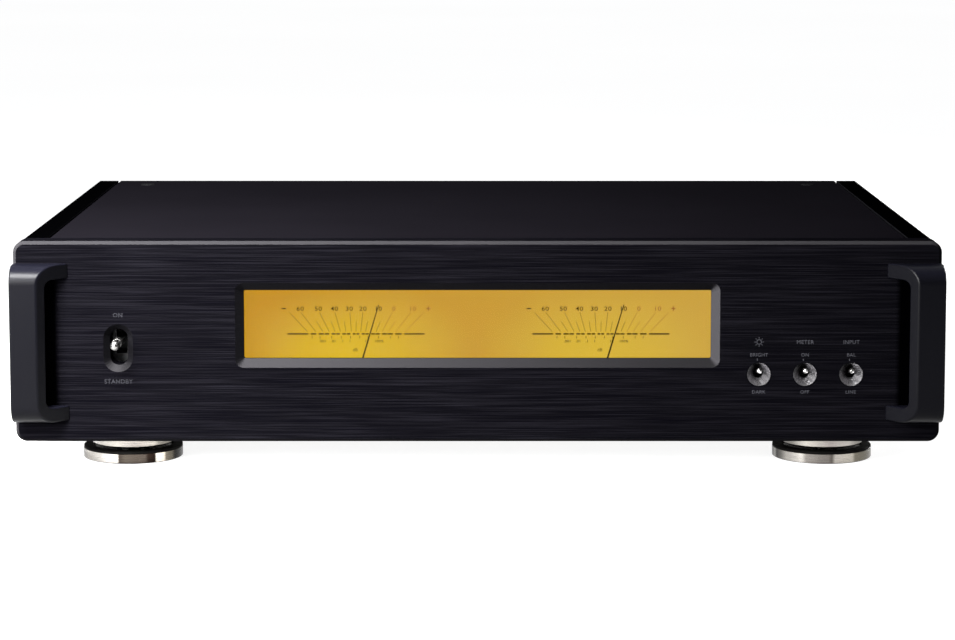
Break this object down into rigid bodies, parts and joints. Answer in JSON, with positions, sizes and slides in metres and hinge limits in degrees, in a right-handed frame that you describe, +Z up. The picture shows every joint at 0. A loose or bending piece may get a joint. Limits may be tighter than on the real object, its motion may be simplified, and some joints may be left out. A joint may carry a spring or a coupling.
{
  "type": "stereo power amplifier",
  "caption": "Full-width black hi-fi amplifier with twin amber level meters in one window, front handles, lever power switch and small toggle switches.",
  "frame": {"origin": "on the floor, under the middle of the whole envelope from handles to terminals", "axes": "+X to the right seen from the front, +Y from the front to the rear, +Z up"},
  "size_m": [0.444, 0.348, 0.111],
  "materials": {
    "panel_black": "black anodised, brushed lengthwise",
    "case_black": "fine black powder coat",
    "side_black": "black anodised",
    "cover_grey": "dark grey satin paint",
    "handle_black": "satin black anodised",
    "zinc_steel": "zinc-plated sheet",
    "screw_steel": "turned steel",
    "window_clear": "clear acrylic",
    "dial": "backlit amber scale",
    "guide": "opal light guide",
    "board": "green solder mask",
    "meter_body": "moulded black",
    "needle": "matt black",
    "switch_body": "moulded black",
    "bright": "bright nickel",
    "bezel": "turned, satin",
    "winding": "varnished tape over the winding",
    "rubber": "matt",
    "capacitor": "sleeved can",
    "sink": "black anodised extrusion",
    "chip": "moulded epoxy",
    "socket_black": "moulded black",
    "socket_metal": "nickel plated",
    "gold": "gold plated",
    "red_cap": "clear red",
    "black_cap": "smoked black",
    "foot_metal": "polished nickel"
  },
  "bodies": {
    "chassis": {"front_panel": "panel_black", "front_subframe": "zinc_steel", "chassis_tray": "zinc_steel", "rear_panel": "case_black", "left_side_panel": "side_black", "right_side_panel": "side_black", "top_cover": "cover_grey", "cover_screws": "screw_steel", "side_screws": "screw_steel", "rear_screws": "screw_steel", "front_screws": "screw_steel", "left_handle": "handle_black", "right_handle": "handle_black", "handle_screws": "screw_steel", "meter_window": "window_clear", "dial_plate": "dial", "light_guide": "guide", "lamp_board": "board", "left_meter": "meter_body", "right_meter": "meter_body", "power_switch": "switch_body", "toggle_bezels": "bezel", "toggle_switches": "switch_body", "front_board": "board", "transformer": "winding", "transformer_pads": "rubber", "transformer_plate": "zinc_steel", "transformer_bolt": "screw_steel", "supply_board": "board", "supply_capacitors": "capacitor", "left_heat_sink": "sink", "right_heat_sink": "sink", "left_amp_board": "board", "right_amp_board": "board", "output_transistors": "chip", "input_board": "board", "board_standoffs": "screw_steel", "power_inlet": "socket_black", "balanced_sockets": "socket_black", "line_sockets": "gold", "trigger_jacks": "socket_black", "mode_switch": "socket_metal", "terminal_studs": "gold", "terminal_insulators": "socket_black", "foot_flanges": "foot_metal", "foot_bases": "foot_metal", "foot_rings": "rubber", "foot_pads": "rubber", "foot_fasteners": "screw_steel"},
    "left_needle": {"left_needle": "needle"},
    "right_needle": {"right_needle": "needle"},
    "power_lever": {"power_lever": "bright"},
    "brightness_lever": {"brightness_lever": "bright"},
    "meter_lever": {"meter_lever": "bright"},
    "input_lever": {"input_lever": "bright"},
    "mode_slider": {"mode_slider": "socket_black"},
    "left_red_knob": {"left_red_knob": "red_cap"},
    "left_black_knob": {"left_black_knob": "black_cap"},
    "right_red_knob": {"right_red_knob": "red_cap"},
    "right_black_knob": {"right_black_knob": "black_cap"}
  },
  "joints": [
    {"name": "power_tilt", "type": "hinge", "parent": "chassis", "child": "power_lever", "pos_m": [-0.1722, -0.1385, 0.0625], "axis": [1, 0, 0], "range_deg": [0, 18]},
    {"name": "brightness_tilt", "type": "hinge", "parent": "chassis", "child": "brightness_lever", "pos_m": [0.1349, -0.149, 0.0468], "axis": [1, 0, 0], "range_deg": [0, 18]},
    {"name": "meter_tilt", "type": "hinge", "parent": "chassis", "child": "meter_lever", "pos_m": [0.157, -0.149, 0.0468], "axis": [1, 0, 0], "range_deg": [0, 18]},
    {"name": "input_tilt", "type": "hinge", "parent": "chassis", "child": "input_lever", "pos_m": [0.1791, -0.149, 0.0468], "axis": [1, 0, 0], "range_deg": [0, 18]},
    {"name": "left_needle_swing", "type": "hinge", "parent": "chassis", "child": "left_needle", "pos_m": [-0.059, -0.15, 0.041], "axis": [0, 1, 0], "range_deg": [-59, 27], "stiffness_Nm_per_rad": 0.0005},
    {"name": "right_needle_swing", "type": "hinge", "parent": "chassis", "child": "right_needle", "pos_m": [0.059, -0.15, 0.041], "axis": [0, 1, 0], "range_deg": [-59, 27], "stiffness_Nm_per_rad": 0.0005},
    {"name": "mode_slide", "type": "slide", "parent": "chassis", "child": "mode_slider", "axis": [1, 0, 0], "range_m": [0, 0.005]},
    {"name": "left_black_turn", "type": "hinge", "parent": "chassis", "child": "left_black_knob", "pos_m": [-0.15, 0.1625, 0.062], "axis": [0, 1, 0], "continuous": true},
    {"name": "left_red_turn", "type": "hinge", "parent": "chassis", "child": "left_red_knob", "pos_m": [-0.118, 0.1625, 0.062], "axis": [0, 1, 0], "continuous": true},
    {"name": "right_red_turn", "type": "hinge", "parent": "chassis", "child": "right_red_knob", "pos_m": [0.118, 0.1625, 0.062], "axis": [0, 1, 0], "continuous": true},
    {"name": "right_black_turn", "type": "hinge", "parent": "chassis", "child": "right_black_knob", "pos_m": [0.15, 0.1625, 0.062], "axis": [0, 1, 0], "continuous": true}
  ]
}
